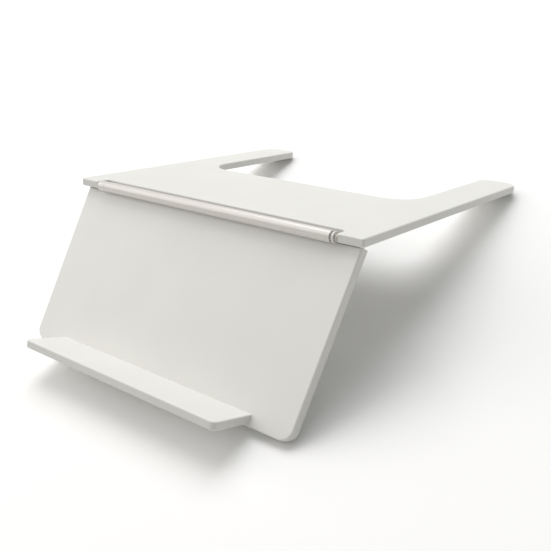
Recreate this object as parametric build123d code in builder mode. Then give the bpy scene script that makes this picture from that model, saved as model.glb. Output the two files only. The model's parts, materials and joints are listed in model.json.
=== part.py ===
"""Folding laptop stand: a front panel with a ledge, hinged to a U-shaped leg board.

Millimetres, +Z up, X along the hinge. The stand is modelled as it stands on a table:
the panel's lower pads and the arm pads touch Z = 0, and the origin lies under the
middle of its bounding box. Panel pieces turn with the front panel, leg pieces with
the U-shaped board.
"""
from build123d import *
import math
import os

os.makedirs("parts", exist_ok=True)

# ---------------------------------------------------------------- driving dimensions
overall_width = 400.0        # leg board, side to side
leg_length = 367.0           # front edge of the ears to the arm tips
leg_thickness = 9.0
arm_width = 49.0
web_depth = 170.0            # front edge of the ears to the cut-out between the arms
ear_length = 30.0            # each side of the hinge recess
recess_depth = 17.0
panel_height = 191.2
panel_thickness = 12.0
panel_inset = 5.5            # each side at its top, from the leg board's side
panel_taper = 5.5            # each side, narrower at its lower edge
ledge_width = 282.0
ledge_depth = 50.0
ledge_thickness = 9.0
ledge_lift = 3.0             # above the panel's lower edge
ledge_droop = 16.0           # degrees past square to the panel
fold_angle = 120.0           # degrees between leg board and panel as it stands

# corners of the boards' outlines, and their softened edges
ear_corner = 3.0
recess_mouth_corner = 2.0
recess_corner = 5.0
cutout_corner = 36.0
tip_outer_corner = 19.0
tip_inner_corner = 13.0
panel_top_corner = 1.0
panel_bottom_corner = 13.0
ledge_front_corner = 6.0
edge_round = 1.8

# hinge tube
axis_setback = 3.2           # hinge axis behind the front edge of the ears
axis_drop = 0.7              # hinge axis below the middle of the leg board
axis_proud = 6.3             # hinge axis in front of the panel's face
axis_rise = 2.0              # hinge axis above the panel's top edge
tube_diameter = 12.0
tube_wall = 1.25
tube_left_gap = 13.0         # tube's end to the left ear
tube_right_gap = 7.0         # tube's end to the right ear
fin_thickness = 2.0
fin_depth = 14.0             # in the groove in the panel's top edge
fin_fit = 0.1                # each side of the fin, in the groove
fin_lift = 0.6               # under the fin's web, above the panel's top edge

# hinge pins and what they turn in
pin_diameter = 4.0
pin_fit = 0.02               # radial running clearance on the pin
pin_stub = 2.0               # pin beyond the plug's inner end
pin_end_gap = 1.0            # pin to the bottom of the ear's bore
bush_diameter = 5.4
bush_length = 20.0
plug_length = 22.0           # inside the tube
neck_diameter = 8.0
clip_diameter = 7.0          # outside of the friction clip
clip_length = 16.0
clip_slot = 0.8
washer_diameter = 7.4
washer_thickness = 1.0
hinge_play = 0.15            # at each face of a thrust washer and of a retainer
collar_play = 2.6            # left collar to the ear
ring_offset = 2.5            # tube's right end to the ring
ring_width = 2.2
retainer_diameter = 8.0
retainer_thickness = 0.8

# fasteners
fin_screw_count = 5
fin_screw_pitch = 70.0
fin_screw_diameter = 3.0
fin_screw_length = 9.5
fin_screw_head = 6.0
ledge_screw_count = 4
ledge_screw_pitch = 76.0
ledge_screw_diameter = 3.5
ledge_screw_length = 36.0
ledge_screw_head = 7.0
ledge_screw_head_height = 2.2
ledge_screw_sink = 0.5       # head below the panel's back
ledge_dowel_count = 3
ledge_dowel_pitch = 76.0
ledge_dowel_diameter = 5.0
ledge_dowel_in_panel = 8.0
ledge_dowel_in_ledge = 18.0
cross_width = 0.9            # arm of a screw's cross recess
cross_depth = 1.2
roll_pin_diameter = 2.0
roll_pin_inset = 9.0         # from the tube's end
set_screw_diameter = 3.0
set_screw_inset = 10.0       # from the ear's inner end
set_screw_sink = 0.3         # below the board's underside
socket_size = 1.5            # across flats
socket_depth = 0.9

# rubber pads
arm_pad_diameter = 12.0
arm_pad_thickness = 2.0
arm_pad_inset = 9.0          # pad's centre to the arm's tip
panel_pad_diameter = 10.0
panel_pad_thickness = 1.5
panel_pad_inset = 7.0        # pad's centre to the panel's lower edge
panel_pad_pitch = 165.0
panel_pad_count = 3

# ---------------------------------------------------------------- how it stands
# Worked out from the hinge axis: lengths along each board, and square to it.
axis_depth = leg_thickness / 2 - axis_drop
leg_foot_along = leg_length - axis_setback - arm_pad_inset + arm_pad_diameter / 2
leg_foot_below = axis_depth + arm_pad_thickness
panel_back = axis_proud + panel_thickness
panel_foot_along = axis_rise + panel_height - panel_pad_inset + panel_pad_diameter / 2
panel_foot_behind = panel_back + panel_pad_thickness

apex = math.radians(180 - fold_angle)
leg_slope = math.atan2(
    panel_foot_along * math.sin(apex) + panel_foot_behind * math.cos(apex) - leg_foot_below,
    leg_foot_along + panel_foot_along * math.cos(apex) - panel_foot_behind * math.sin(apex),
)
panel_slope = apex - leg_slope
ledge_slope = panel_slope + math.radians(ledge_droop)
hinge_height = leg_foot_along * math.sin(leg_slope) + leg_foot_below * math.cos(leg_slope)

# The arm tips reach furthest back and the ledge's lip furthest forward.
ledge_root_along = axis_rise + panel_height - ledge_lift
rear_reach = (
    (leg_length - axis_setback - edge_round) * math.cos(leg_slope)
    + (leg_thickness - axis_depth - edge_round) * math.sin(leg_slope)
    + edge_round
)
front_reach = (
    ledge_root_along * math.cos(panel_slope)
    - axis_proud * math.sin(panel_slope)
    + (ledge_depth - edge_round) * math.sin(ledge_slope)
    - edge_round * math.cos(ledge_slope)
    + edge_round
)
hinge_y = (front_reach - rear_reach) / 2

# ---------------------------------------------------------------- planes
# On a board's plane x runs along the hinge. The leg's y runs to the arm tips, the
# panel's y up to the hinge and the ledge's y back into the panel.
hinge = (0, hinge_y, hinge_height)
leg_plane = Plane(hinge, x_dir=(1, 0, 0), z_dir=(0, math.sin(leg_slope), math.cos(leg_slope)))
panel_plane = Plane(hinge, x_dir=(1, 0, 0), z_dir=(0, -math.sin(panel_slope), math.cos(panel_slope)))
leg_under = leg_plane.offset(-axis_depth)
panel_face = panel_plane.offset(-axis_proud)
panel_rear = panel_plane.offset(-panel_back)
ledge_plane = Plane(
    panel_plane.from_local_coords(Vector(0, -ledge_root_along, -axis_proud)),
    x_dir=(1, 0, 0),
    z_dir=(0, math.cos(ledge_slope), math.sin(ledge_slope)),
)
# The ledge's screws and dowels run along its middle, their z forward into the ledge.
ledge_bolts = Plane(
    ledge_plane.from_local_coords(Vector(0, 0, ledge_thickness / 2)),
    x_dir=(1, 0, 0),
    z_dir=(0, -math.sin(ledge_slope), math.cos(ledge_slope)),
)

# ---------------------------------------------------------------- places
sides = {-1: "left", 1: "right"}
half_width = overall_width / 2
half_panel = half_width - panel_inset
half_foot = half_panel - panel_taper
ear_inner = half_width - ear_length
arm_inner = half_width - arm_width
leg_front = -axis_setback
leg_back = leg_length - axis_setback
panel_top = -axis_rise
panel_bottom = panel_top - panel_height
tube_end = {-1: ear_inner - tube_left_gap, 1: ear_inner - tube_right_gap}
tube_length = tube_end[-1] + tube_end[1]
tube_bore = tube_diameter - 2 * tube_wall
fin_behind = axis_proud + panel_thickness / 2
web_down = axis_rise - fin_lift - fin_thickness / 2
neck_end = ear_inner - washer_thickness - 2 * hinge_play

droop = math.radians(ledge_droop)
face_depth = ledge_thickness / 2 * math.tan(droop)
rear_depth = face_depth + panel_thickness / math.cos(droop)
screw_top_depth = rear_depth - ledge_screw_head / 2 * math.tan(droop) - ledge_screw_sink
screw_seat_depth = screw_top_depth - ledge_screw_head_height
behind_panel = 2 * rear_depth
dowel_depth = face_depth + ledge_dowel_in_panel
dowel_length = dowel_depth + ledge_dowel_in_ledge


def row(pitch, count, y=0.0):
    """Places along X at one y, evenly spaced about the middle."""
    return [((i - (count - 1) / 2) * pitch, y) for i in range(count)]


set_screw_places = [(side * (ear_inner + set_screw_inset), 0) for side in sides]
fin_screw_places = row(fin_screw_pitch, fin_screw_count, panel_top - fin_depth / 2)
ledge_screw_places = row(ledge_screw_pitch, ledge_screw_count)
ledge_dowel_places = row(ledge_dowel_pitch, ledge_dowel_count)
panel_pad_places = row(panel_pad_pitch, panel_pad_count, panel_bottom + panel_pad_inset)


# ---------------------------------------------------------------- helpers
def across(x, plane=panel_plane):
    """The plane square to the hinge at X = x: its x runs out of the board, its y down the board."""
    return Plane(plane.from_local_coords(Vector(x, 0, 0)), x_dir=plane.z_dir, z_dir=(1, 0, 0))


def roll_pin_plane(side):
    """On the hinge axis near one tube end, facing back and down, away from the panel's face."""
    x = side * (tube_end[side] - roll_pin_inset)
    backward = (-panel_plane.y_dir - panel_plane.z_dir).normalized()
    return Plane(panel_plane.from_local_coords(Vector(x, 0, 0)), x_dir=(1, 0, 0), z_dir=backward)


def round_bar(x_from, x_to, diameter, plane=panel_plane, mode=Mode.ADD):
    """A cylinder on the hinge axis between two places along X."""
    with BuildSketch(across(x_from, plane)) as disc:
        Circle(diameter / 2)
    extrude(disc.sketch, amount=x_to - x_from, mode=mode)


def discs(places, diameter, plane, depth, mode=Mode.ADD):
    """Cylinders that rise from a plane, at places given as (x, y) on it."""
    with BuildSketch(plane) as spots:
        with Locations(*places):
            Circle(diameter / 2)
    extrude(spots.sketch, amount=depth, mode=mode)


def cross_recess(places, plane, size):
    """A cross recess cut up from a plane into each screw's head."""
    with BuildSketch(plane) as crosses:
        with Locations(*places):
            Rectangle(cross_width, size)
            Rectangle(size, cross_width)
    extrude(crosses.sketch, amount=cross_depth, mode=Mode.SUBTRACT)


def countersunk(places, plane, mode=Mode.ADD):
    """Countersunk screws, or their holes, with their heads flush on a plane."""
    discs(places, fin_screw_diameter, plane, fin_screw_length, mode)
    head_height = (fin_screw_head - fin_screw_diameter) / 2
    with Locations(plane):
        with Locations(*places):
            Cone(
                fin_screw_head / 2, fin_screw_diameter / 2, head_height,
                align=(Align.CENTER, Align.CENTER, Align.MIN), mode=mode,
            )


def upright_edges(board, plane, x, y):
    """A board's square corners at X = +x and X = -x, at height y on its plane."""
    found = []
    for edge in board.edges().filter_by(Axis(plane.origin, plane.z_dir)):
        spot = plane.to_local_coords(edge.center())
        if abs(abs(spot.X) - x) < 0.01 and abs(spot.Y - y) < 0.01:
            found.append(edge)
    return found


def soften(board, plane):
    """Round the outline edges of both faces of a board that lies on a plane."""
    for end in (-1, 0):
        faces = board.faces().filter_by(plane).sort_by(Axis(plane.origin, plane.z_dir))
        fillet(faces[end].edges(), edge_round)


def finish(piece, name):
    """Name a finished piece and write it."""
    piece.part.label = name
    export_step(piece.part, f"parts/{name}.step")


# ---------------------------------------------------------------- leg board
corner_plan = [
    (half_width, leg_front, ear_corner),
    (ear_inner, leg_front, recess_mouth_corner),
    (ear_inner, leg_front + recess_depth, recess_corner),
    (half_width, leg_back, tip_outer_corner),
    (arm_inner, leg_back, tip_inner_corner),
    (arm_inner, leg_front + web_depth, cutout_corner),
]

with BuildPart() as leg_board:
    with BuildSketch(leg_under):
        with Locations((0, leg_front)):
            Rectangle(overall_width, leg_length, align=(Align.CENTER, Align.MIN))
            Rectangle(2 * ear_inner, recess_depth, align=(Align.CENTER, Align.MIN), mode=Mode.SUBTRACT)
        with Locations((0, leg_front + web_depth)):
            Rectangle(2 * arm_inner, leg_length, align=(Align.CENTER, Align.MIN), mode=Mode.SUBTRACT)
    extrude(amount=leg_thickness)
    for x, y, radius in corner_plan:
        fillet(upright_edges(leg_board, leg_plane, x, y), radius)
    soften(leg_board, leg_plane)
    for side in sides:
        bore_bottom = ear_inner + bush_length
        round_bar(side * ear_inner, side * bore_bottom, bush_diameter, leg_plane, Mode.SUBTRACT)
    discs(set_screw_places, set_screw_diameter, leg_under, axis_depth, Mode.SUBTRACT)
finish(leg_board, "leg_board")

# ---------------------------------------------------------------- front panel
with BuildPart() as front_panel:
    with BuildSketch(panel_rear):
        with BuildLine():
            Polyline(
                (-half_foot, panel_bottom), (half_foot, panel_bottom),
                (half_panel, panel_top), (-half_panel, panel_top), close=True,
            )
        make_face()
    extrude(amount=panel_thickness)
    fillet(upright_edges(front_panel, panel_plane, half_panel, panel_top), panel_top_corner)
    fillet(upright_edges(front_panel, panel_plane, half_foot, panel_bottom), panel_bottom_corner)
    soften(front_panel, panel_plane)
    # The groove for the tube's fin opens at the panel's top edge.
    with BuildSketch(across(-tube_end[-1] - fin_fit)):
        with Locations((-fin_behind, axis_rise)):
            Rectangle(fin_thickness + 2 * fin_fit, 2 * (fin_depth + fin_fit))
    extrude(amount=tube_length + 2 * fin_fit, mode=Mode.SUBTRACT)
    countersunk(fin_screw_places, panel_rear, Mode.SUBTRACT)
    # The ledge's screws sit in counterbores, its dowels in blind holes.
    from_behind = ledge_bolts.offset(-behind_panel)
    discs(ledge_screw_places, ledge_screw_diameter, from_behind, behind_panel, Mode.SUBTRACT)
    head_bore = behind_panel - screw_seat_depth
    discs(ledge_screw_places, ledge_screw_head, from_behind, head_bore, Mode.SUBTRACT)
    dowel_floor = ledge_bolts.offset(-dowel_depth)
    discs(ledge_dowel_places, ledge_dowel_diameter, dowel_floor, dowel_depth, Mode.SUBTRACT)
finish(front_panel, "front_panel")

# ---------------------------------------------------------------- ledge
with BuildPart() as ledge:
    with BuildSketch(ledge_plane):
        Rectangle(ledge_width, 2 * ledge_depth)
    extrude(amount=ledge_thickness)
    fillet(upright_edges(ledge, ledge_plane, ledge_width / 2, -ledge_depth), ledge_front_corner)
    soften(ledge, ledge_plane)
    split(bisect_by=panel_face, keep=Keep.TOP)
    screw_seat = ledge_bolts.offset(-screw_seat_depth)
    discs(ledge_screw_places, ledge_screw_diameter, screw_seat, ledge_screw_length, Mode.SUBTRACT)
    discs(ledge_dowel_places, ledge_dowel_diameter, dowel_floor, dowel_length, Mode.SUBTRACT)
finish(ledge, "ledge")

with BuildPart() as ledge_screws:
    screw_top = ledge_bolts.offset(-screw_top_depth)
    discs(ledge_screw_places, ledge_screw_diameter, screw_seat, ledge_screw_length)
    discs(ledge_screw_places, ledge_screw_head, screw_top, ledge_screw_head_height)
    cross_recess(ledge_screw_places, screw_top, ledge_screw_head / 2)
finish(ledge_screws, "ledge_screws")

with BuildPart() as ledge_dowels:
    discs(ledge_dowel_places, ledge_dowel_diameter, dowel_floor, dowel_length)
finish(ledge_dowels, "ledge_dowels")

# ---------------------------------------------------------------- hinge tube
with BuildPart() as hinge_tube:
    with BuildSketch(across(-tube_end[-1])):
        Circle(tube_diameter / 2)
        with Locations((-fin_behind / 2, web_down)):
            Rectangle(fin_behind, fin_thickness)
        with Locations((-fin_behind, web_down - fin_thickness / 2)):
            Rectangle(
                fin_thickness, fin_thickness + fin_lift + fin_depth, align=(Align.CENTER, Align.MIN)
            )
        Circle(tube_bore / 2, mode=Mode.SUBTRACT)
    extrude(amount=tube_length)
    countersunk(fin_screw_places, panel_rear, Mode.SUBTRACT)
    for side in sides:
        discs([(0, 0)], roll_pin_diameter, roll_pin_plane(side), tube_diameter, Mode.SUBTRACT)
finish(hinge_tube, "hinge_tube")

with BuildPart() as fin_screws:
    countersunk(fin_screw_places, panel_rear)
    cross_recess(fin_screw_places, panel_rear, fin_screw_head / 2)
finish(fin_screws, "fin_screws")

with BuildPart() as roll_pins:
    for side in sides:
        pin_foot = roll_pin_plane(side).offset(clip_diameter / 2)
        discs([(0, 0)], roll_pin_diameter, pin_foot, (tube_diameter - clip_diameter) / 2)
finish(roll_pins, "roll_pins")

# ---------------------------------------------------------------- collar and ring on the tube's necks
with BuildPart() as left_collar:
    round_bar(-tube_end[-1], collar_play - ear_inner, tube_diameter)
    round_bar(-tube_end[-1], collar_play - ear_inner, neck_diameter, mode=Mode.SUBTRACT)
finish(left_collar, "left_collar")

with BuildPart() as right_ring:
    ring_from = tube_end[1] + ring_offset
    round_bar(ring_from, ring_from + ring_width, tube_diameter)
    round_bar(ring_from, ring_from + ring_width, neck_diameter, mode=Mode.SUBTRACT)
finish(right_ring, "right_ring")

# ---------------------------------------------------------------- both ends of the hinge
running_diameter = pin_diameter + 2 * pin_fit

for side, name in sides.items():
    plug_inner = side * (tube_end[side] - plug_length)
    clip_end = plug_inner + side * clip_length
    washer_from = side * (neck_end + hinge_play)
    washer_to = side * (neck_end + hinge_play + washer_thickness)
    retainer_from = plug_inner - side * hinge_play
    pin_inner = plug_inner - side * pin_stub
    bush_end = side * (ear_inner + bush_length)

    with BuildPart() as tube_plug:
        round_bar(plug_inner, side * tube_end[side], tube_bore)
        round_bar(side * tube_end[side], side * neck_end, neck_diameter)
        round_bar(plug_inner, clip_end, clip_diameter, mode=Mode.SUBTRACT)
        round_bar(clip_end, side * neck_end, running_diameter, mode=Mode.SUBTRACT)
        discs([(0, 0)], roll_pin_diameter, roll_pin_plane(side), tube_diameter, Mode.SUBTRACT)
    finish(tube_plug, f"{name}_tube_plug")

    with BuildPart() as friction_clip:
        round_bar(plug_inner, clip_end, clip_diameter)
        round_bar(plug_inner, clip_end, running_diameter, mode=Mode.SUBTRACT)
        with BuildSketch(across(plug_inner)):
            Rectangle(clip_slot, clip_diameter, align=(Align.CENTER, Align.MIN))
        extrude(amount=clip_end - plug_inner, mode=Mode.SUBTRACT)
    finish(friction_clip, f"{name}_friction_clip")

    with BuildPart() as thrust_washer:
        round_bar(washer_from, washer_to, washer_diameter)
        round_bar(washer_from, washer_to, running_diameter, mode=Mode.SUBTRACT)
    finish(thrust_washer, f"{name}_thrust_washer")

    with BuildPart() as retainer:
        round_bar(retainer_from, retainer_from - side * retainer_thickness, retainer_diameter)
        round_bar(retainer_from, retainer_from - side * retainer_thickness, pin_diameter, mode=Mode.SUBTRACT)
    finish(retainer, f"{name}_retainer")

    with BuildPart() as hinge_pin:
        round_bar(pin_inner, bush_end - side * pin_end_gap, pin_diameter)
    finish(hinge_pin, f"{name}_hinge_pin")

    with BuildPart() as ear_bush:
        round_bar(side * ear_inner, bush_end, bush_diameter, leg_plane)
        round_bar(side * ear_inner, bush_end, pin_diameter, leg_plane, Mode.SUBTRACT)
        discs(set_screw_places, set_screw_diameter, leg_under, axis_depth, Mode.SUBTRACT)
    finish(ear_bush, f"{name}_ear_bush")

    with BuildPart() as arm_pad:
        arm_middle = side * (half_width - arm_width / 2)
        pad_place = (arm_middle, leg_back - arm_pad_inset)
        discs([pad_place], arm_pad_diameter, leg_under, -arm_pad_thickness)
    finish(arm_pad, f"{name}_arm_pad")

with BuildPart() as ear_set_screws:
    screw_mouth = leg_under.offset(set_screw_sink)
    discs(set_screw_places, set_screw_diameter, screw_mouth, axis_depth - set_screw_sink - pin_diameter / 2)
    with BuildSketch(screw_mouth):
        with Locations(*set_screw_places):
            RegularPolygon(socket_size / 2, 6, major_radius=False)
    extrude(amount=socket_depth, mode=Mode.SUBTRACT)
finish(ear_set_screws, "ear_set_screws")

with BuildPart() as panel_pads:
    discs(panel_pad_places, panel_pad_diameter, panel_rear, -panel_pad_thickness)
finish(panel_pads, "panel_pads")
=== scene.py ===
"""Folding laptop stand in white lacquered board, laid out as an add-on and run as a script.

Lengths are in metres in the frame of the packed model, with X along the hinge and Z up.
Each board is drawn flat in a frame of its own, with its origin on the hinge axis, and is
then set in its place.
"""
import json
import math

import bmesh
import bpy
from bpy.props import (
    FloatProperty,
    FloatVectorProperty,
    IntProperty,
    PointerProperty,
)
from mathutils import Matrix, Vector


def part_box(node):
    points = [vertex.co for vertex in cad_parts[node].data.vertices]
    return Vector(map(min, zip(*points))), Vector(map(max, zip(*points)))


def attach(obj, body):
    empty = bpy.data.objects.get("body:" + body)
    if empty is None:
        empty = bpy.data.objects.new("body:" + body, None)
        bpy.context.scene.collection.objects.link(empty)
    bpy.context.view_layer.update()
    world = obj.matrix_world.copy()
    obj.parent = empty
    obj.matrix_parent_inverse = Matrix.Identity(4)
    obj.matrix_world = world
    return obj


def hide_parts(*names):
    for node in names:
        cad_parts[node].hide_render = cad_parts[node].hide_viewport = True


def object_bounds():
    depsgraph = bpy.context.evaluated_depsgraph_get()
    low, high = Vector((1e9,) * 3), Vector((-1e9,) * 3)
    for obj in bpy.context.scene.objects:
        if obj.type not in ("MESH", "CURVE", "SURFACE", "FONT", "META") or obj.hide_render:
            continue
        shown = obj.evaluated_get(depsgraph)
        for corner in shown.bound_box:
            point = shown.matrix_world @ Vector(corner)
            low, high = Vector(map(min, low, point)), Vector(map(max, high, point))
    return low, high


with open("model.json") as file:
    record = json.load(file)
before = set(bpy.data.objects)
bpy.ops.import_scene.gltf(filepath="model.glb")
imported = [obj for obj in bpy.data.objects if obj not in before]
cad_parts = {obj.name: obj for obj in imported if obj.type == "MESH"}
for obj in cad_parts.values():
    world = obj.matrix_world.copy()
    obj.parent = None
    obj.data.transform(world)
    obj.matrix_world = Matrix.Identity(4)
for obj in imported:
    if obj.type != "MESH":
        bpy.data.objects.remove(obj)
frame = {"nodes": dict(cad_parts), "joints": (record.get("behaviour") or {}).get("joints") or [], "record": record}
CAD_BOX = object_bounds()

bl_info = {
    "name": "Folding laptop stand",
    "version": (1, 0, 0),
    "blender": (4, 5, 0),
    "location": "3D View > Sidebar > Laptop stand",
    "description": "Makes the boards, hinge and finishes of a folding laptop stand, and its studio",
    "category": "Add Mesh",
}

MM = 0.001
BEHIND = 30 * MM  # from the panel's face back to where its cutting shapes start
PAST = 6 * MM  # how far the shank holes' cutting shapes run past the panel's face
LEAD = 12 * MM  # from the panel's face back to where the ledge's cutting shapes start
NODES = frame["nodes"]
MOUNTS = {mount["name"]: Vector(mount["axis"]) for mount in frame["record"]["mounts"]}
HINGE = Vector(frame["joints"][0]["pos_m"])


def width_of(node):
    """A node's extent along the hinge."""
    low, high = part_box(node)
    return high.x - low.x


# ---------------------------------------------------------------- sizes and colours
def length(name, description, default):
    """A length that the user can change."""
    return FloatProperty(
        name=name, description=description, default=default, min=0.0, precision=5,
        unit="LENGTH", subtype="DISTANCE",
    )


def angle(name, description, degrees):
    """An angle that the user can change."""
    turn = math.radians(degrees)
    return FloatProperty(name=name, description=description, default=turn, subtype="ANGLE")


def count(name, description, default):
    """How many of something there are."""
    return IntProperty(name=name, description=description, default=default, min=1, max=12)


def colour(name, description, default):
    """A paint or material colour that the user can change."""
    return FloatVectorProperty(
        name=name, description=description, default=default, size=3, min=0.0, max=1.0,
        subtype="COLOR",
    )


def offset(name, description, default, unit="LENGTH"):
    """A way off, or a direction, that the user can change."""
    return FloatVectorProperty(
        name=name, description=description, default=default, size=3, unit=unit, subtype="XYZ"
    )


def amount(name, description, default, high=1.0):
    """A plain number from nought up that the user can change."""
    return FloatProperty(name=name, description=description, default=default, min=0.0, max=high)


class StandBoardSizes(bpy.types.PropertyGroup):
    """Outlines and thicknesses of the three boards."""

    edge_round: length("Softened edge", "Radius on every edge of the boards", 1.8 * MM)
    round_steps: count("Edge steps", "Facets across a softened edge", 6)
    leg_thickness: length("Leg board thickness", "Sheet that the leg board is cut from", 9 * MM)
    leg_length: length("Leg board length", "Ears' front edge to the arm tips", 367 * MM)
    leg_width: length("Leg board width", "Side to side", width_of("leg_board"))
    leg_setback: length("Hinge setback", "Hinge axis behind the ears' front edge", 3.2 * MM)
    leg_drop: length("Hinge drop", "Hinge axis below the middle of the leg board", 0.7 * MM)
    arm_width: length("Arm width", "Each arm beside the cut-out", 49 * MM)
    web_depth: length("Web depth", "Ears' front edge to the cut-out", 170 * MM)
    ear_length: length("Ear length", "Each side of the hinge recess", 30 * MM)
    recess_depth: length("Recess depth", "Room for the tube between the ears", 17 * MM)
    ear_corner: length("Ear corner", "Radius of the ears' outer corners", 3 * MM)
    mouth_corner: length("Mouth corner", "Radius of the ears' inner corners", 2 * MM)
    recess_corner: length("Recess corner", "Radius inside the hinge recess", 5 * MM)
    cutout_corner: length("Cut-out corner", "Radius inside the cut-out", 36 * MM)
    tip_outer_corner: length("Tip outer corner", "Radius outside each arm tip", 19 * MM)
    tip_inner_corner: length("Tip inner corner", "Radius inside each arm tip", 13 * MM)
    panel_width: length("Panel width", "Side to side at its top edge", width_of("front_panel"))
    panel_taper: length("Panel taper", "Each side, narrower at the lower edge", 5.5 * MM)
    panel_height: length("Panel height", "Top edge to bottom edge", 191.2 * MM)
    panel_thickness: length("Panel thickness", "Sheet that the panel is cut from", 12 * MM)
    panel_proud: length("Panel setback", "Hinge axis in front of the panel's face", 6.3 * MM)
    panel_drop: length("Panel drop", "Hinge axis above the panel's top edge", 2.0 * MM)
    panel_top_corner: length("Panel top corner", "Radius of the upper corners", 1 * MM)
    panel_bottom_corner: length("Panel bottom corner", "Radius of the lower corners", 13 * MM)
    ledge_width: length("Ledge width", "Side to side", width_of("ledge"))
    ledge_depth: length("Ledge depth", "Panel's face to the ledge's lip", 50 * MM)
    ledge_thickness: length("Ledge thickness", "Sheet that the ledge is cut from", 9 * MM)
    ledge_lift: length("Ledge lift", "Above the panel's lower edge", 3 * MM)
    ledge_front_corner: length("Ledge corner", "Radius of the lip's corners", 6 * MM)
    ledge_droop: angle("Ledge droop", "Past square to the panel", 16)


class StandHingeSizes(bpy.types.PropertyGroup):
    """The tube between the ears, its fin and its end rings."""

    tube_diameter: length("Tube diameter", "Outside of the hinge tube", 12 * MM)
    tube_wall: length("Tube wall", "Thickness of the tube's wall", 1.25 * MM)
    tube_left: length("Tube left end", "From the middle of the stand", 157 * MM)
    tube_right: length("Tube right end", "From the middle of the stand", 163 * MM)
    tube_edge: length("Tube edge break", "Radius on the tube's cut ends", 0.3 * MM)
    fin_thickness: length("Fin thickness", "Strip that holds the tube on the panel", 2 * MM)
    fin_depth: length("Fin depth", "Fin in the panel's groove", 14 * MM)
    fin_lift: length("Fin lift", "Fin's web above the panel's top edge", 0.6 * MM)
    fin_fit: length("Fin fit", "Room each side of the fin", 0.1 * MM)
    neck_diameter: length("Neck diameter", "Plug's neck inside the collar and ring", 8 * MM)
    collar_outer: length("Collar outer end", "From the middle of the stand", 167.4 * MM)
    ring_inner: length("Ring inner side", "From the middle of the stand", 165.5 * MM)
    ring_width: length("Ring width", "Ring between tube and right ear", 2.2 * MM)
    ring_edge: length("Ring edge", "Radius on the ring's and collar's rims", 0.5 * MM)
    bush_diameter: length("Bush diameter", "Bush in each ear", 5.4 * MM)
    bush_length: length("Bush length", "Depth of the bush in the ear", 20 * MM)
    pin_diameter: length("Cross pin diameter", "Spring pin across the tube", 2 * MM)
    pin_inset: length("Cross pin inset", "From the tube's end", 9 * MM)
    pin_lean: angle("Cross pin lean", "About the tube, from straight out of the panel", 135)


class StandFixingSizes(bpy.types.PropertyGroup):
    """Screw and dowel holes, and the rubber pads."""

    fin_screws: count("Fin screws", "Screws through the fin", 5)
    fin_screw_pitch: length("Fin screw pitch", "Between screws through the fin", 70 * MM)
    fin_screw_length: length("Fin screw length", "From the panel's back to the tip", 9.5 * MM)
    fin_screw_shank: length("Fin screw shank", "Hole through panel and fin", 3 * MM)
    fin_screw_head: length("Fin screw head", "Countersink on the panel's back", 6 * MM)
    ledge_screws: count("Ledge screws", "Screws from the panel into the ledge", 4)
    ledge_dowels: count("Ledge dowels", "Dowels between panel and ledge", 3)
    ledge_pitch: length("Ledge fixing pitch", "Between screws, and between dowels", 76 * MM)
    ledge_screw_shank: length("Ledge screw shank", "Hole through the panel", 3.5 * MM)
    ledge_screw_head: length("Ledge screw head", "Counterbore on the panel's back", 7 * MM)
    ledge_screw_seat: length("Ledge screw seat", "Left under the head", 10.07 * MM)
    ledge_screw_reach: length("Ledge screw reach", "Hole's depth in the ledge", 25.93 * MM)
    dowel_diameter: length("Dowel diameter", "Holes for the dowels", 5 * MM)
    dowel_in_panel: length("Dowel in the panel", "Least depth of its hole", 8 * MM)
    dowel_in_ledge: length("Dowel in the ledge", "Depth of its hole", 18 * MM)
    set_screw_diameter: length("Set screw diameter", "Holes under the ears", 3 * MM)
    set_screw_inset: length("Set screw inset", "From the ear's inner end", 10 * MM)
    arm_pad_diameter: length("Arm pad diameter", "Rubber pad under each arm tip", 12 * MM)
    arm_pad_thickness: length("Arm pad thickness", "Rubber pad under each arm tip", 2 * MM)
    arm_pad_inset: length("Arm pad inset", "Pad's centre to the arm tip", 9 * MM)
    panel_pad_diameter: length("Panel pad diameter", "Rubber pads on the panel's back", 10 * MM)
    panel_pad_thickness: length("Panel pad thickness", "Rubber pads on the back", 1.5 * MM)
    panel_pad_inset: length("Panel pad inset", "Pad's centre to the lower edge", 7 * MM)
    panel_pads: count("Panel pads", "Rubber pads on the panel's back", 3)
    panel_pad_pitch: length("Panel pad pitch", "Between pads", 165 * MM)
    pad_edge: length("Pad edge", "Radius on the pads' rims", 0.4 * MM)


class StandFinishes(bpy.types.PropertyGroup):
    """Colours of the stand's finishes."""

    lacquer: colour("Board lacquer", "White of the boards' faces", (0.745, 0.742, 0.708))
    lacquer_edge: colour("Lacquer on edges", "White where the board soaks it up", (0.66, 0.655, 0.625))
    tube_coat: colour("Tube coat", "White powder coat of tube and rings", (0.705, 0.675, 0.635))
    steel: colour("Zinc steel", "Screws", (0.62, 0.62, 0.60))
    dark_steel: colour("Dark steel", "Set screws", (0.12, 0.12, 0.12))
    spring_steel: colour("Spring steel", "Clips, pins and retainers", (0.45, 0.45, 0.46))
    pin_steel: colour("Pin steel", "Ground hinge pins", (0.60, 0.60, 0.60))
    alloy: colour("Plug alloy", "Turned plugs in the tube", (0.62, 0.62, 0.61))
    brass: colour("Bush brass", "Bushes in the ears", (0.72, 0.52, 0.22))
    nylon: colour("Washer nylon", "Thrust washers", (0.70, 0.69, 0.65))
    beech: colour("Beech", "Dowels", (0.68, 0.48, 0.30))
    rubber: colour("Pad rubber", "Feet under arms and panel", (0.55, 0.55, 0.54))


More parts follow.
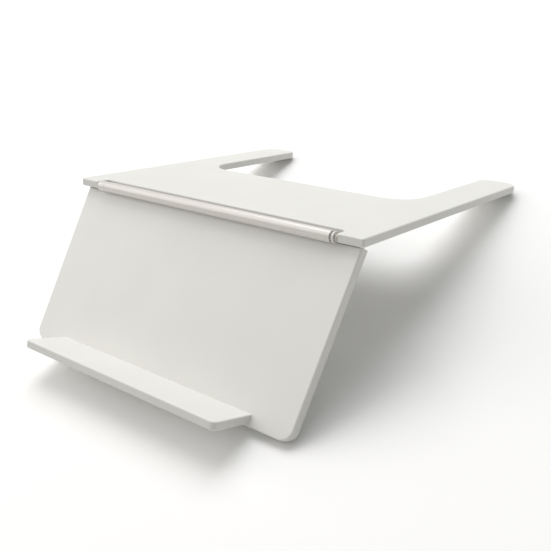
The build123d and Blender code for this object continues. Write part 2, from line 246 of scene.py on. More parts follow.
class StandStudio(bpy.types.PropertyGroup):
    """Floor, lights and camera."""

    floor: colour("Floor", "Paper that the stand is on", (0.93, 0.93, 0.925))
    floor_reach: length("Floor reach", "From the middle of the floor to its edges", 12.0)
    surround: amount("Surround", "Strength of the light from all round", 0.385, 10.0)
    key_power: amount("Key power", "Large soft light above and behind, in watts", 96.0, 1000.0)
    fill_power: amount("Fill power", "Soft light at the front left, in watts", 71.0, 1000.0)
    key_offset: offset("Key place", "From the stand's middle", (-0.9, 1.48, 3.1))
    key_size: length("Key size", "Side of the square light", 2.8)
    fill_offset: offset("Fill place", "From the stand's middle", (-2.95, -1.2, 2.5))
    fill_size: length("Fill size", "Side of the square light", 3.4)
    fill_tint: colour("Fill tint", "A little warm", (1.0, 0.97, 0.93))
    camera_place: offset("Camera place", "Above the front right", (0.53538, -0.53991, 0.50512))
    camera_facing: offset(
        "Camera facing", "The way the camera looks", (-0.57584, 0.57165, -0.58449), "NONE"
    )
    camera_lean: angle("Camera lean", "Clockwise, seen from behind the camera", 13.989)
    lens: amount("Lens", "Focal length in millimetres on a 36 mm wide sensor", 48.743, 300.0)
    shift: amount("Lens shift", "Rise of the lens, as a share of the sensor's width", 0.0445)


GROUPS = {
    "stand_boards": StandBoardSizes,
    "stand_hinge": StandHingeSizes,
    "stand_fixings": StandFixingSizes,
    "stand_finishes": StandFinishes,
    "stand_studio": StandStudio,
}


# ---------------------------------------------------------------- places
def lying_on(normal, origin):
    """The frame of a board: x along the hinge, z out of its top face, y across it."""
    along = Vector((1, 0, 0))
    up = normal.normalized()
    across = up.cross(along)
    return Matrix.Translation(origin) @ Matrix((along, across, up)).transposed().to_4x4()


def leg_place():
    """The leg board's frame, with y to the arm tips."""
    return lying_on(MOUNTS["leg_board_top"], HINGE)


def leg_underside(boards):
    """Height of the leg board's underside from the hinge axis."""
    return boards.leg_drop - boards.leg_thickness / 2


def panel_place(boards):
    """The panel's frame, with y up to the hinge."""
    ledge_top = MOUNTS["ledge_top"]
    slope = math.atan2(ledge_top.z, ledge_top.y) - boards.ledge_droop
    return lying_on(Vector((0, -math.sin(slope), math.cos(slope))), HINGE)


def ledge_place(boards):
    """The ledge's frame, on its underside where it meets the panel, with y into the panel."""
    root_along = boards.panel_drop + boards.panel_height - boards.ledge_lift
    root = panel_place(boards) @ Vector((0, -root_along, -boards.panel_proud))
    return lying_on(MOUNTS["ledge_top"], root)


def row(pitch, count):
    """Places along the hinge, evenly spaced about the middle."""
    return [(i - (count - 1) / 2) * pitch for i in range(count)]


# ---------------------------------------------------------------- shaping
def cut_outline(corners, thickness, bottom, steps=12):
    """A flat board from its corners, each (x, y, radius), in anticlockwise order."""
    board = bmesh.new()
    square = [(board.verts.new((x, y, bottom)), radius) for x, y, radius in corners]
    board.faces.new([vertex for vertex, radius in square])
    for radius in sorted({radius for vertex, radius in square if radius > 0}):
        bmesh.ops.bevel(
            board, geom=[vertex for vertex, own in square if own == radius], offset=radius,
            offset_type="OFFSET", segments=steps, profile=0.5, affect="VERTICES", material=-1,
        )
    raised = bmesh.ops.extrude_face_region(board, geom=board.faces[:])["geom"]
    lifted = [item for item in raised if isinstance(item, bmesh.types.BMVert)]
    bmesh.ops.translate(board, verts=lifted, vec=(0, 0, thickness))
    bmesh.ops.recalc_face_normals(board, faces=board.faces[:])
    return board


def soften(board, radius, steps):
    """Round the outline edges of both faces of a flat board."""
    level = [e for e in board.edges if abs(e.verts[0].co.z - e.verts[1].co.z) < radius / 10]
    bmesh.ops.bevel(
        board, geom=level, offset=radius, offset_type="OFFSET", segments=steps, profile=0.5,
        affect="EDGES", material=-1,
    )


def turned(profile, rim=0.0, sides=64):
    """A ring or disc turned about the hinge line from its (x, radius) corners."""
    shape = bmesh.new()
    corners = [shape.verts.new((x, 0, radius)) for x, radius in profile]
    on_axis = min(radius for x, radius in profile) <= 0
    shape.faces.new(corners)
    if rim > 0:
        outer = max(radius for x, radius in profile)
        bmesh.ops.bevel(
            shape, geom=[v for v in corners if v.co.z == max(c.co.z for c in corners)],
            offset=min(rim, outer / 2), offset_type="OFFSET", segments=4, profile=0.5,
            affect="VERTICES", material=-1,
        )
    bmesh.ops.delete(shape, geom=shape.faces[:], context="FACES_ONLY")
    if on_axis:
        centre = [e for e in shape.edges if max(abs(v.co.z) for v in e.verts) < 1e-9]
        bmesh.ops.delete(shape, geom=centre, context="EDGES")
    bmesh.ops.spin(
        shape, geom=shape.verts[:] + shape.edges[:], cent=(0, 0, 0), axis=(1, 0, 0),
        dvec=(0, 0, 0), angle=2 * math.pi, steps=sides, use_merge=True, use_duplicate=False,
    )
    bmesh.ops.remove_doubles(shape, verts=shape.verts[:], dist=1e-7)
    bmesh.ops.recalc_face_normals(shape, faces=shape.faces[:])
    return shape


def standing(x, y, foot, height, diameter, top_diameter=None, sides=32):
    """A round bar or cone that rises along z from a foot at (x, y)."""
    bar = bmesh.new()
    upper = diameter if top_diameter is None else top_diameter
    bmesh.ops.create_cone(
        bar, cap_ends=True, segments=sides, radius1=diameter / 2, radius2=upper / 2,
        depth=height, matrix=Matrix.Translation((x, y, foot + height / 2)),
    )
    return bar


def block(low, high):
    """A square block between two corners, used only to cut with."""
    shape = bmesh.new()
    middle = [(a + b) / 2 for a, b in zip(low, high)]
    size = [b - a for a, b in zip(low, high)]
    bmesh.ops.create_cube(
        shape, size=1.0, matrix=Matrix.Translation(middle) @ Matrix.Diagonal((*size, 1.0))
    )
    return shape


def gathered(*shapes):
    """Several shapes in one."""
    whole = bmesh.new()
    for shape in shapes:
        part = bpy.data.meshes.new("part")
        shape.to_mesh(part)
        whole.from_mesh(part)
        bpy.data.meshes.remove(part)
        shape.free()
    return whole


def as_object(shape, name, place=Matrix.Identity(4)):
    """A shape set in its place as an object at the origin."""
    bmesh.ops.transform(shape, matrix=place, verts=shape.verts[:])
    mesh = bpy.data.meshes.new(name)
    shape.to_mesh(mesh)
    shape.free()
    piece = bpy.data.objects.new(name, mesh)
    bpy.context.scene.collection.objects.link(piece)
    return piece


def combine(piece, tool, operation):
    """Cut a tool shape out of a piece, or join it on, for good."""
    helper = as_object(tool, "tool")
    change = piece.modifiers.new("change", "BOOLEAN")
    change.operation = operation
    change.solver = "EXACT"
    change.object = helper
    depsgraph = bpy.context.evaluated_depsgraph_get()
    made = bpy.data.meshes.new_from_object(piece.evaluated_get(depsgraph))
    if not made.polygons:
        raise RuntimeError(f"{piece.name} came out empty")
    piece.modifiers.clear()
    piece.data = made
    made.name = piece.name
    bpy.data.objects.remove(helper)


def cut_away(piece, shapes, place):
    """Cut some shapes, drawn in a board's frame, out of a piece."""
    cutter = gathered(*shapes)
    bmesh.ops.transform(cutter, matrix=place, verts=cutter.verts[:])
    combine(piece, cutter, "DIFFERENCE")


def fit(piece, body, stands_for, finish, sharp=40.0):
    """Shade a piece, give it its finish and fix it to its body."""
    piece.data.materials.clear()
    piece.data.materials.append(finish)
    piece.data.shade_smooth()
    piece.data.set_sharp_from_angle(angle=math.radians(sharp))
    even = piece.modifiers.new("even_shading", "WEIGHTED_NORMAL")
    even.keep_sharp = True
    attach(piece, body)
    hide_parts(*stands_for)


# ---------------------------------------------------------------- finishes
class Value:
    """A varying shader value. Arithmetic on it adds Math nodes."""

    def __init__(self, finish, socket):
        self.finish = finish
        self.socket = socket

    def maths(self, operation, *values):
        """One Math node on plain numbers or values."""
        return self.finish.node("ShaderNodeMath", {"operation": operation}, list(values))

    def __add__(self, other):
        return self.maths("ADD", self, other)

    def __sub__(self, other):
        return self.maths("SUBTRACT", self, other)

    def __rsub__(self, other):
        return self.maths("SUBTRACT", other, self)

    def __mul__(self, other):
        return self.maths("MULTIPLY", self, other)

    def __truediv__(self, other):
        return self.maths("DIVIDE", self, other)

    def __rtruediv__(self, other):
        return self.maths("DIVIDE", other, self)

    def __pow__(self, other):
        return self.maths("POWER", self, other)

    def __abs__(self):
        return self.maths("ABSOLUTE", self)

    __radd__ = __add__
    __rmul__ = __mul__

    def between(self, low, high):
        """Nought below one value, one above the other, with a smooth step."""
        ramp = {"interpolation_type": "SMOOTHSTEP"}
        return self.finish.node("ShaderNodeMapRange", ramp, {"Value": self, 1: low, 2: high})


class Finish:
    """A material for one of the stand's finishes, and the nodes that make it."""

    def __init__(self, name, steady):
        self.material = bpy.data.materials.new(name)
        self.material.use_nodes = True
        self.tree = self.material.node_tree
        self.tree.nodes.clear()
        out = self.tree.nodes.new("ShaderNodeOutputMaterial")
        self.shader = self.tree.nodes.new("ShaderNodeBsdfPrincipled")
        self.tree.links.new(self.shader.outputs[0], out.inputs[0])
        self.feed(self.shader, steady)

    def feed(self, node, inputs):
        """Set or link a node's sockets, given by name or number, or as a list in order."""
        pairs = inputs.items() if isinstance(inputs, dict) else enumerate(inputs)
        for key, value in pairs:
            if isinstance(value, Value):
                self.tree.links.new(value.socket, node.inputs[key])
            else:
                node.inputs[key].default_value = value

    def node(self, kind, settings=None, inputs=(), output=0):
        """Any node: its settings first, then its sockets. Gives one of its outputs."""
        node = self.tree.nodes.new(kind)
        for key, value in (settings or {}).items():
            setattr(node, key, value)
        self.feed(node, inputs)
        return Value(self, node.outputs[output])

    def place(self, board=None, stretch=(1, 1, 1)):
        """The spot on the piece, in a board's own frame, stretched along its axes."""
        spot = self.node("ShaderNodeTexCoord", output="Object")
        if board is not None:
            back = board.inverted()
            spot = self.node(
                "ShaderNodeMapping", {}, {0: spot, 1: back.translation, 2: back.to_euler()}
            )
        if tuple(stretch) != (1, 1, 1):
            spot = self.node("ShaderNodeVectorMath", {"operation": "MULTIPLY"}, [spot, stretch])
        return spot

    def noise(self, spot, grain, detail=2.0, roughness=0.5):
        """Soft noise with a grain of the given size."""
        return self.node(
            "ShaderNodeTexNoise", {},
            {"Vector": spot, "Scale": 1 / grain, "Detail": detail, "Roughness": roughness},
        )

    def spots(self, spot, spacing, feature="F1"):
        """Distance to the nearest of many scattered points, in spacings."""
        return self.node(
            "ShaderNodeTexVoronoi", {"feature": feature}, {"Vector": spot, "Scale": 1 / spacing}
        )

    def part(self, spot, axis):
        """One coordinate of a spot: 0 for x, 1 for y, 2 for z."""
        return self.node("ShaderNodeSeparateXYZ", {}, [spot], axis)

    def blend(self, amount, first, second):
        """One colour turning into another."""
        mix = {"data_type": "RGBA"}
        return self.node("ShaderNodeMix", mix, {0: amount, 6: first, 7: second}, 2)

    def bump(self, height, depth, strength=1.0, under=None):
        """Relief of the given depth, on top of another relief."""
        inputs = {"Height": height, "Distance": depth, "Strength": strength}
        if under is not None:
            inputs["Normal"] = under
        return self.node("ShaderNodeBump", {}, inputs)

    def done(self, tone, gloss, relief):
        """Link what varies over the surface and give the material."""
        self.feed(self.shader, {"Base Color": tone, "Roughness": gloss, "Normal": relief})
        return self.material


def paint(tone, change=1.0):
    """A colour with its alpha, made lighter or darker."""
    return (*[min(1.0, channel * change) for channel in tone], 1.0)


def board_lacquer(name, board, thickness, middle):
    """Satin lacquer sprayed on board: fine peel, dust nibs, faint rubbing, thirstier edges."""
    colours = bpy.context.scene.stand_finishes
    lacquer = Finish(name, {"Specular IOR Level": 0.5, "IOR": 1.48})
    spot = lacquer.place(board)
    depth = abs(lacquer.part(spot, 2) - middle)
    edge = 1 - depth.between(thickness / 2 - 1.3 * MM, thickness / 2 - 0.2 * MM)
    cloud = lacquer.noise(spot, 90 * MM, 3.0)
    peel = lacquer.noise(spot, 2.6 * MM, 2.0)
    fine = lacquer.noise(spot, 0.5 * MM, 2.0)
    fibre = lacquer.noise(lacquer.place(board, (1.0, 1.0, 0.12)), 0.7 * MM, 3.0)
    nib = 1 - lacquer.spots(spot, 21 * MM).between(0.010, 0.022)
    rub = lacquer.noise(lacquer.place(board, (0.06, 1.0, 1.0)), 1.6 * MM, 4.0, 0.6)
    worn = cloud.between(0.5, 0.72) * rub.between(0.46, 0.62)
    face = lacquer.blend(cloud.between(0.3, 0.7), paint(colours.lacquer), paint(colours.lacquer, 0.975))
    side = lacquer.blend(fibre, paint(colours.lacquer_edge), paint(colours.lacquer_edge, 0.93))
    tone = lacquer.blend(edge * 0.8, face, side)
    tone = lacquer.blend(nib * 0.25, tone, paint(colours.lacquer_edge, 0.8))
    gloss = 0.36 + 0.05 * peel + 0.05 * cloud + 0.06 * worn + 0.12 * edge * fibre
    relief = lacquer.bump(peel, 0.035 * MM)
    relief = lacquer.bump(fine, 0.004 * MM, under=relief)
    relief = lacquer.bump(nib, 0.03 * MM, under=relief)
    relief = lacquer.bump(fibre * edge, 0.02 * MM, under=relief)
    return lacquer.done(tone, gloss, relief)


def tube_coat():
    """White powder coat: a tight, even peel with the odd pinhole."""
    colours = bpy.context.scene.stand_finishes
    coat = Finish("white_tube", {"Coat Weight": 0.9, "Coat Roughness": 0.1})
    spot = coat.place()
    peel = coat.noise(spot, 1.3 * MM, 2.0)
    cloud = coat.noise(spot, 40 * MM, 2.0)
    pinhole = 1 - coat.spots(spot, 7 * MM).between(0.012, 0.03)
    tone = coat.blend(cloud, paint(colours.tube_coat), paint(colours.tube_coat, 0.97))
    tone = coat.blend(pinhole * 0.3, tone, paint(colours.tube_coat, 0.7))
    relief = coat.bump(peel, 0.03 * MM)
    relief = coat.bump(pinhole, -0.02 * MM, under=relief)
    return coat.done(tone, 0.27 + 0.08 * peel, relief)


def turned_metal(name, tone, gloss, along=(1, 1, 1), tarnish=0.12):
    """Bare or plated metal with fine tool lines and a little tarnish."""
    metal = Finish(name, {"Metallic": 1.0})
    lines = metal.noise(metal.place(stretch=along), 0.12 * MM, 2.0)
    cloud = metal.noise(metal.place(), 2.2 * MM, 3.0)
    colour_now = metal.blend(cloud.between(0.4, 0.7), paint(tone), paint(tone, 1 - tarnish))
    relief = metal.bump(lines, 0.006 * MM)
    return metal.done(colour_now, gloss + 0.12 * lines + 0.08 * cloud, relief)


def moulded(name, tone, gloss, grain):
    """A moulded plastic or rubber with a fine matt grain."""
    stuff = Finish(name, {"Specular IOR Level": 0.4})
    speck = stuff.noise(stuff.place(), grain, 3.0, 0.6)
    cloud = stuff.noise(stuff.place(), 4 * MM, 2.0)
    colour_now = stuff.blend(cloud, paint(tone), paint(tone, 1.35))
    relief = stuff.bump(speck, 0.02 * MM)
    return stuff.done(colour_now, gloss + 0.15 * speck, relief)


def beech_wood(axis):
    """Beech with long fibres and short darker flecks, along the dowels."""
    tone = bpy.context.scene.stand_finishes.beech
    wood = Finish("dowel_beech", {"Specular IOR Level": 0.3})
    fibre = wood.noise(wood.place(axis, (1.0, 0.05, 1.0)), 0.25 * MM, 3.0)
    fleck = wood.noise(wood.place(axis, (1.0, 0.25, 1.0)), 0.5 * MM, 2.0).between(0.58, 0.7)
    colour_now = wood.blend(fibre, paint(tone, 1.08), paint(tone, 0.85))
    colour_now = wood.blend(fleck * 0.5, colour_now, paint(tone, 0.6))
    relief = wood.bump(fibre, 0.03 * MM)
    return wood.done(colour_now, 0.55 + 0.2 * fibre, relief)


def studio_paper():
    """Pale, matt paper under the stand."""
    tone = bpy.context.scene.stand_studio.floor
    paper = Finish("studio_paper", {"Specular IOR Level": 0.1})
    tooth = paper.noise(paper.place(), 1.5 * MM, 3.0)
    shade = paper.blend(paper.noise(paper.place(), 0.6, 2.0), paint(tone), paint(tone, 0.985))
    relief = paper.bump(tooth, 0.02 * MM)
    return paper.done(shade, 0.8 + 0.1 * tooth, relief)


# ---------------------------------------------------------------- the pieces
class STAND_OT_leg_board(bpy.types.Operator):
    """Cut the leg board, with its ears, hinge recess, cut-out and two arms"""

    bl_idname = "stand.leg_board"
    bl_label = "Leg board"

    def execute(self, context):
        boards = context.scene.stand_boards
        hinge = context.scene.stand_hinge
        fixings = context.scene.stand_fixings
        half = boards.leg_width / 2
        ear = half - boards.ear_length
        arm = half - boards.arm_width
        front = -boards.leg_setback
        back = front + boards.leg_length
        right_side = [
            (ear, front, boards.mouth_corner),
            (half, front, boards.ear_corner),
            (half, back, boards.tip_outer_corner),
            (arm, back, boards.tip_inner_corner),
            (arm, front + boards.web_depth, boards.cutout_corner),
        ]
        recess = (ear, front + boards.recess_depth, boards.recess_corner)
        outline = [recess, *right_side]
        outline += [(-x, y, radius) for x, y, radius in reversed(outline)]
        bottom = leg_underside(boards)
        board = cut_outline(outline, boards.leg_thickness, bottom)
        soften(board, boards.edge_round, boards.round_steps)
        place = leg_place()
        piece = as_object(board, "leg_board_lacquered", place)
        reach = hinge.bush_length
        holes = []
        for side in (-1, 1):
            low, high = sorted((side * (ear - reach), side * (ear + reach)))
            bore = hinge.bush_diameter / 2
            holes.append(turned([(low, 0), (low, bore), (high, bore), (high, 0)], sides=32))
            screw_x = side * (ear + fixings.set_screw_inset)
            holes.append(standing(screw_x, 0, 2 * bottom, -2 * bottom, fixings.set_screw_diameter))
        cut_away(piece, holes, place)
        finish = board_lacquer("white_lacquer_leg", place, boards.leg_thickness, boards.leg_drop)
        fit(piece, "leg", ["leg_board"], finish)
        return {"FINISHED"}


class STAND_OT_front_panel(bpy.types.Operator):
    """Cut the front panel, with the fin's groove and the screw and dowel holes"""

    bl_idname = "stand.front_panel"
    bl_label = "Front panel"

    def execute(self, context):
        boards = context.scene.stand_boards
        hinge = context.scene.stand_hinge
        fixings = context.scene.stand_fixings
        half = boards.panel_width / 2
        foot = half - boards.panel_taper
        top = -boards.panel_drop
        bottom = top - boards.panel_height
        rear = -boards.panel_proud - boards.panel_thickness
        outline = [
            (-foot, bottom, boards.panel_bottom_corner),
            (foot, bottom, boards.panel_bottom_corner),
            (half, top, boards.panel_top_corner),
            (-half, top, boards.panel_top_corner),
        ]
        board = cut_outline(outline, boards.panel_thickness, rear)
        soften(board, boards.edge_round, boards.round_steps)
        place = panel_place(boards)
        piece = as_object(board, "panel_lacquered", place)
        groove_half = hinge.fin_thickness / 2 + hinge.fin_fit
        middle = rear + boards.panel_thickness / 2
        groove_foot = top - hinge.fin_depth - hinge.fin_fit
        groove = block(
            (-hinge.tube_left - hinge.fin_fit, groove_foot, middle - groove_half),
            (hinge.tube_right + hinge.fin_fit, top + hinge.fin_depth, middle + groove_half),
        )
        cut_away(piece, [groove], place)
        screw_y = top - hinge.fin_depth / 2
        cone = (fixings.fin_screw_head - fixings.fin_screw_shank) / 2
        start = rear - cone
        depth = fixings.fin_screw_length + cone
        shank = fixings.fin_screw_shank
        wide = 2 * fixings.fin_screw_head - shank
        screws = row(fixings.fin_screw_pitch, fixings.fin_screws)
        cut_away(piece, [standing(x, screw_y, start, depth, shank) for x in screws], place)
        cut_away(piece, [standing(x, screw_y, start, 2 * cone, wide, shank) for x in screws], place)
        bolt_place = ledge_bolt_place(boards)
        seat = fixings.ledge_screw_seat
        screws = row(fixings.ledge_pitch, fixings.ledge_screws)
        dowels = row(fixings.ledge_pitch, fixings.ledge_dowels)
        dowel_end = -dowel_depth(boards, fixings)
        for holes in (
            [standing(x, 0, -BEHIND, BEHIND + PAST, fixings.ledge_screw_shank) for x in screws],
            [standing(x, 0, -BEHIND, BEHIND - seat, fixings.ledge_screw_head) for x in screws],
            [standing(x, 0, dowel_end, BEHIND, fixings.dowel_diameter) for x in dowels],
        ):
            cut_away(piece, holes, bolt_place)
        finish = board_lacquer("white_lacquer_panel", place, boards.panel_thickness, middle)
        fit(piece, "panel", ["front_panel"], finish)
        return {"FINISHED"}


def ledge_bolt_place(boards):
    """Frame of the ledge's fixings: z forward along the middle of the ledge."""
    ledge = ledge_place(boards)
    lift = Matrix.Translation((0, 0, boards.ledge_thickness / 2))
    forward = Matrix.Rotation(math.pi / 2, 4, "X")
    return ledge @ lift @ forward


def dowel_depth(boards, fixings):
    """How far the dowels reach into the panel."""
    return boards.ledge_thickness / 2 * math.tan(boards.ledge_droop) + fixings.dowel_in_panel


class STAND_OT_ledge(bpy.types.Operator):
    """Cut the ledge and trim its back edge to the panel's face"""

    bl_idname = "stand.ledge"
    bl_label = "Ledge"

    def execute(self, context):
        boards = context.scene.stand_boards
        fixings = context.scene.stand_fixings
        half = boards.ledge_width / 2
        outline = [
            (-half, -boards.ledge_depth, boards.ledge_front_corner),
            (half, -boards.ledge_depth, boards.ledge_front_corner),
            (half, boards.ledge_depth, 0.0),
            (-half, boards.ledge_depth, 0.0),
        ]
        board = cut_outline(outline, boards.ledge_thickness, 0.0)
        soften(board, boards.edge_round, boards.round_steps)
        place = ledge_place(boards)
        panel = panel_place(boards)
        face_point = place.inverted() @ (panel @ Vector((0, 0, -boards.panel_proud)))
        face_normal = place.inverted().to_3x3() @ (panel.to_3x3() @ Vector((0, 0, 1)))
        cut = bmesh.ops.bisect_plane(
            board, geom=board.verts[:] + board.edges[:] + board.faces[:], dist=1e-7,
            plane_co=face_point, plane_no=face_normal, clear_inner=True,
        )["geom_cut"]
        rim = [item for item in cut if isinstance(item, bmesh.types.BMEdge)]
        bmesh.ops.edgeloop_fill(board, edges=rim)
        bmesh.ops.recalc_face_normals(board, faces=board.faces[:])
        piece = as_object(board, "ledge_lacquered", place)
        bolt_place = ledge_bolt_place(boards)
        screws = row(fixings.ledge_pitch, fixings.ledge_screws)
        dowels = row(fixings.ledge_pitch, fixings.ledge_dowels)
        screw_reach = LEAD + fixings.ledge_screw_reach
        dowel_reach = LEAD + fixings.dowel_in_ledge
        holes = [
            *[standing(x, 0, -LEAD, screw_reach, fixings.ledge_screw_shank) for x in screws],
            *[standing(x, 0, -LEAD, dowel_reach, fixings.dowel_diameter) for x in dowels],
        ]
        cut_away(piece, holes, bolt_place)
        finish = board_lacquer(
            "white_lacquer_ledge", place, boards.ledge_thickness, boards.ledge_thickness / 2
        )
        fit(piece, "panel", ["ledge"], finish)
        return {"FINISHED"}


class STAND_OT_hinge_tube(bpy.types.Operator):
    """Make the hinge tube with its fin, and the collar and ring at its ends"""

    bl_idname = "stand.hinge_tube"
    bl_label = "Hinge tube, collar and ring"

    def execute(self, context):
        boards = context.scene.stand_boards
        hinge = context.scene.stand_hinge
        fixings = context.scene.stand_fixings
        place = panel_place(boards)
        outer = hinge.tube_diameter / 2
        bore = outer - hinge.tube_wall
        left, right = -hinge.tube_left, hinge.tube_right
        finish = tube_coat()
        tube = turned([(left, bore), (left, outer), (right, outer), (right, bore)], hinge.tube_edge)
        piece = as_object(tube, "tube_coated", place)
        top = -boards.panel_drop
        middle = -boards.panel_proud - boards.panel_thickness / 2
        half_fin = hinge.fin_thickness / 2
        web_bottom = top + hinge.fin_lift
        web_top = web_bottom + hinge.fin_thickness
        web = [(-math.sqrt(((outer + bore) / 2) ** 2 - y ** 2), y) for y in (web_bottom, web_top)]
        tongue = [
            (middle - half_fin, web_top),
            (middle - half_fin, top - hinge.fin_depth),
            (middle + half_fin, top - hinge.fin_depth),
            (middle + half_fin, web_bottom),
        ]
        fin = fin_strip(left, right, web + tongue)
        bmesh.ops.transform(fin, matrix=place, verts=fin.verts[:])
        combine(piece, fin, "UNION")
        rear = -boards.panel_proud - boards.panel_thickness
        screw_y = top - hinge.fin_depth / 2
        holes = [
            standing(x, screw_y, rear, fixings.fin_screw_length, fixings.fin_screw_shank)
            for x in row(fixings.fin_screw_pitch, fixings.fin_screws)
        ]
        for x in (left + hinge.pin_inset, right - hinge.pin_inset):
            pin = standing(0, 0, 0, hinge.tube_diameter, hinge.pin_diameter)
            lean = Matrix.Translation((x, 0, 0)) @ Matrix.Rotation(hinge.pin_lean, 4, "X")
            bmesh.ops.transform(pin, matrix=lean, verts=pin.verts[:])
            holes.append(pin)
        cut_away(piece, holes, place)
        fit(piece, "panel", ["hinge_tube"], finish)
        neck = hinge.neck_diameter / 2
        ring_outer = hinge.ring_inner + hinge.ring_width
        for name, node, low, high in (
            ("collar_coated", "left_collar", -hinge.collar_outer, left),
            ("ring_coated", "right_ring", hinge.ring_inner, ring_outer),
        ):
            ring = turned([(low, neck), (low, outer), (high, outer), (high, neck)], hinge.ring_edge)
            fit(as_object(ring, name, place), "panel", [node], finish)
        return {"FINISHED"}


def fin_strip(left, right, corners):
    """The fin's bent strip: a web out of the tube's wall and a tongue down into the panel."""
    strip = bmesh.new()
    end = [strip.verts.new((left, y, z)) for z, y in corners]
    strip.faces.new(end)
    raised = bmesh.ops.extrude_face_region(strip, geom=strip.faces[:])["geom"]
    moved = [item for item in raised if isinstance(item, bmesh.types.BMVert)]
    bmesh.ops.translate(strip, verts=moved, vec=(right - left, 0, 0))
    bmesh.ops.recalc_face_normals(strip, faces=strip.faces[:])
    return strip


class STAND_OT_pads(bpy.types.Operator):
    """Make the rubber pads under the arm tips and on the panel's back"""

    bl_idname = "stand.pads"
    bl_label = "Rubber pads"

    def execute(self, context):
        boards = context.scene.stand_boards
        fixings = context.scene.stand_fixings
        rubber = moulded("pad_rubber", context.scene.stand_finishes.rubber, 0.62, 0.35 * MM)
        arm_x = boards.leg_width / 2 - boards.arm_width / 2
        arm_y = boards.leg_length - boards.leg_setback - fixings.arm_pad_inset
        under = leg_underside(boards)
        for side, name in ((-1, "left"), (1, "right")):
            pad = foot_pad(fixings.arm_pad_diameter, fixings.arm_pad_thickness, fixings.pad_edge)
            bmesh.ops.translate(pad, verts=pad.verts[:], vec=(side * arm_x, arm_y, under))
            piece = as_object(pad, f"{name}_arm_foot", leg_place())
            fit(piece, "leg", [f"{name}_arm_pad"], rubber)
        rear = -boards.panel_proud - boards.panel_thickness
        pad_y = fixings.panel_pad_inset - boards.panel_drop - boards.panel_height
        pads = []
        for x in row(fixings.panel_pad_pitch, fixings.panel_pads):
            pad = foot_pad(fixings.panel_pad_diameter, fixings.panel_pad_thickness, fixings.pad_edge)
            bmesh.ops.translate(pad, verts=pad.verts[:], vec=(x, pad_y, rear))
            pads.append(pad)
        piece = as_object(gathered(*pads), "panel_feet", panel_place(boards))
        fit(piece, "panel", ["panel_pads"], rubber)
        return {"FINISHED"}


def foot_pad(diameter, thickness, edge):
    """A round pad that hangs down from z = 0, with a soft rim."""
    pad = turned([(0, 0), (0, diameter / 2), (thickness, diameter / 2), (thickness, 0)], edge, 48)
    hanging = Matrix.Rotation(math.pi / 2, 3, "Y")
    bmesh.ops.rotate(pad, verts=pad.verts[:], cent=(0, 0, 0), matrix=hanging)
    return pad


class STAND_OT_hardware(bpy.types.Operator):
    """Finish the screws, pins, plugs, bushes, washers, clips and dowels"""

    bl_idname = "stand.hardware"
    bl_label = "Screws, pins and hinge hardware"

    def execute(self, context):
        colours = context.scene.stand_finishes
        boards = context.scene.stand_boards
        lathe = (1.0, 0.1, 0.1)
        slots = {
            "zinc_steel": turned_metal("zinc_steel", colours.steel, 0.28),
            "dark_steel": turned_metal("dark_steel", colours.dark_steel, 0.38),
            "spring_steel": turned_metal("spring_steel", colours.spring_steel, 0.3, lathe),
            "pin_steel": turned_metal("pin_steel", colours.pin_steel, 0.18, lathe),
            "plug_alloy": turned_metal("plug_alloy", colours.alloy, 0.3, lathe),
            "bush_brass": turned_metal("bush_brass", colours.brass, 0.26, lathe, 0.25),
            "washer_nylon": moulded("washer_nylon", colours.nylon, 0.45, 0.2 * MM),
            "dowel_beech": beech_wood(ledge_place(boards)),
        }
        for entry in frame["record"]["subparts"]:
            if entry["material_slot"] not in slots:
                continue
            node = NODES[entry["node"]]
            node.data.materials.clear()
            node.data.materials.append(slots[entry["material_slot"]])
        return {"FINISHED"}


class STAND_OT_studio(bpy.types.Operator):
    """Lay the floor and set up the soft lights and the camera"""

    bl_idname = "stand.studio"
    bl_label = "Studio"

    def execute(self, context):
        studio = context.scene.stand_studio
        low, high = CAD_BOX
        middle = (low + high) / 2
        sheet = bmesh.new()
        bmesh.ops.create_grid(sheet, x_segments=1, y_segments=1, size=studio.floor_reach)
        floor = as_object(sheet, "studio_floor")
        floor.data.materials.append(studio_paper())

        surround = bpy.data.worlds.new("studio_surround")
        surround.use_nodes = True
        backdrop = surround.node_tree.nodes["Background"]
        backdrop.inputs["Color"].default_value = (1.0, 1.0, 0.995, 1.0)
        backdrop.inputs["Strength"].default_value = studio.surround
        context.scene.world = surround

        soft_light("key_light", middle, studio.key_offset, studio.key_size, studio.key_power)
        fill = soft_light(
            "fill_light", middle, studio.fill_offset, studio.fill_size, studio.fill_power
        )
        fill.color = studio.fill_tint
        context.scene.view_settings.view_transform = "Standard"

        lens = bpy.data.cameras.new("camera")
        lens.lens = studio.lens
        lens.sensor_width = 36.0
        lens.shift_y = studio.shift
        lens.clip_start = 0.01
        lens.clip_end = 60.0
        camera = bpy.data.objects.new("camera", lens)
        context.scene.collection.objects.link(camera)
        camera.matrix_world = viewpoint(studio)
        context.scene.camera = camera
        return {"FINISHED"}


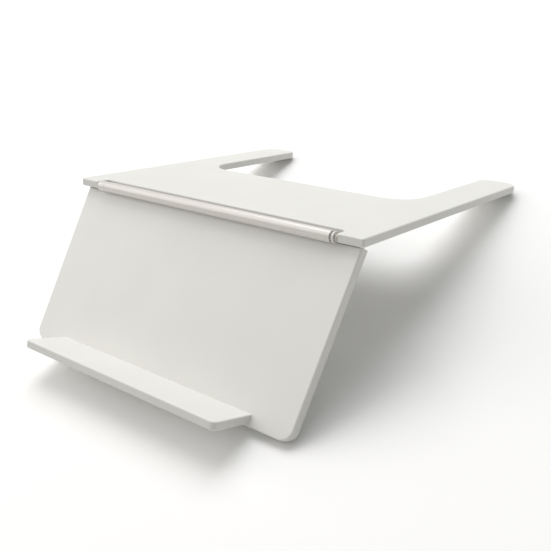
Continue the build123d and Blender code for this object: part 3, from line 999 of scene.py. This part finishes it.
def soft_light(name, target, away, size, power):
    """A square soft light that faces the stand from some way off."""
    lamp = bpy.data.lights.new(name, "AREA")
    lamp.shape = "SQUARE"
    lamp.size = size
    lamp.energy = power
    light = bpy.data.objects.new(name, lamp)
    light.location = target + Vector(away)
    light.rotation_euler = (-Vector(away)).to_track_quat("-Z", "Y").to_euler()
    bpy.context.scene.collection.objects.link(light)
    return lamp


def viewpoint(studio):
    """Where the camera is and how it is turned."""
    forward = Vector(studio.camera_facing).normalized()
    level = forward.cross(Vector((0, 0, 1))).normalized()
    above = level.cross(forward)
    lean = studio.camera_lean
    right = level * math.cos(lean) - above * math.sin(lean)
    up = right.cross(forward)
    turn = Matrix((right, up, -forward)).transposed().to_4x4()
    return Matrix.Translation(studio.camera_place) @ turn


# ---------------------------------------------------------------- the add-on
PIECES = (
    STAND_OT_leg_board,
    STAND_OT_front_panel,
    STAND_OT_ledge,
    STAND_OT_hinge_tube,
    STAND_OT_pads,
    STAND_OT_hardware,
    STAND_OT_studio,
)


class STAND_PT_laptop_stand(bpy.types.Panel):
    """Lists the stand's sizes, colours and pieces"""

    bl_idname = "STAND_PT_laptop_stand"
    bl_label = "Laptop stand"
    bl_space_type = "VIEW_3D"
    bl_region_type = "UI"
    bl_category = "Laptop stand"

    def draw(self, context):
        for piece in PIECES:
            self.layout.operator(piece.bl_idname)
        for name, group in GROUPS.items():
            box = self.layout.box()
            box.label(text=group.__doc__)
            for size in group.__annotations__:
                box.prop(getattr(context.scene, name), size)


def register():
    """Add the stand's sizes, operators and panel to Blender."""
    for name, group in GROUPS.items():
        bpy.utils.register_class(group)
        setattr(bpy.types.Scene, name, PointerProperty(type=group))
    for piece in PIECES:
        bpy.utils.register_class(piece)
    bpy.utils.register_class(STAND_PT_laptop_stand)


def unregister():
    """Take them out again."""
    bpy.utils.unregister_class(STAND_PT_laptop_stand)
    for piece in reversed(PIECES):
        bpy.utils.unregister_class(piece)
    for name, group in GROUPS.items():
        delattr(bpy.types.Scene, name)
        bpy.utils.unregister_class(group)


def main():
    """Make the whole stand."""
    register()
    bpy.ops.stand.leg_board()
    bpy.ops.stand.front_panel()
    bpy.ops.stand.ledge()
    bpy.ops.stand.hinge_tube()
    bpy.ops.stand.pads()
    bpy.ops.stand.hardware()
    bpy.ops.stand.studio()


if __name__ == "__main__":
    main()
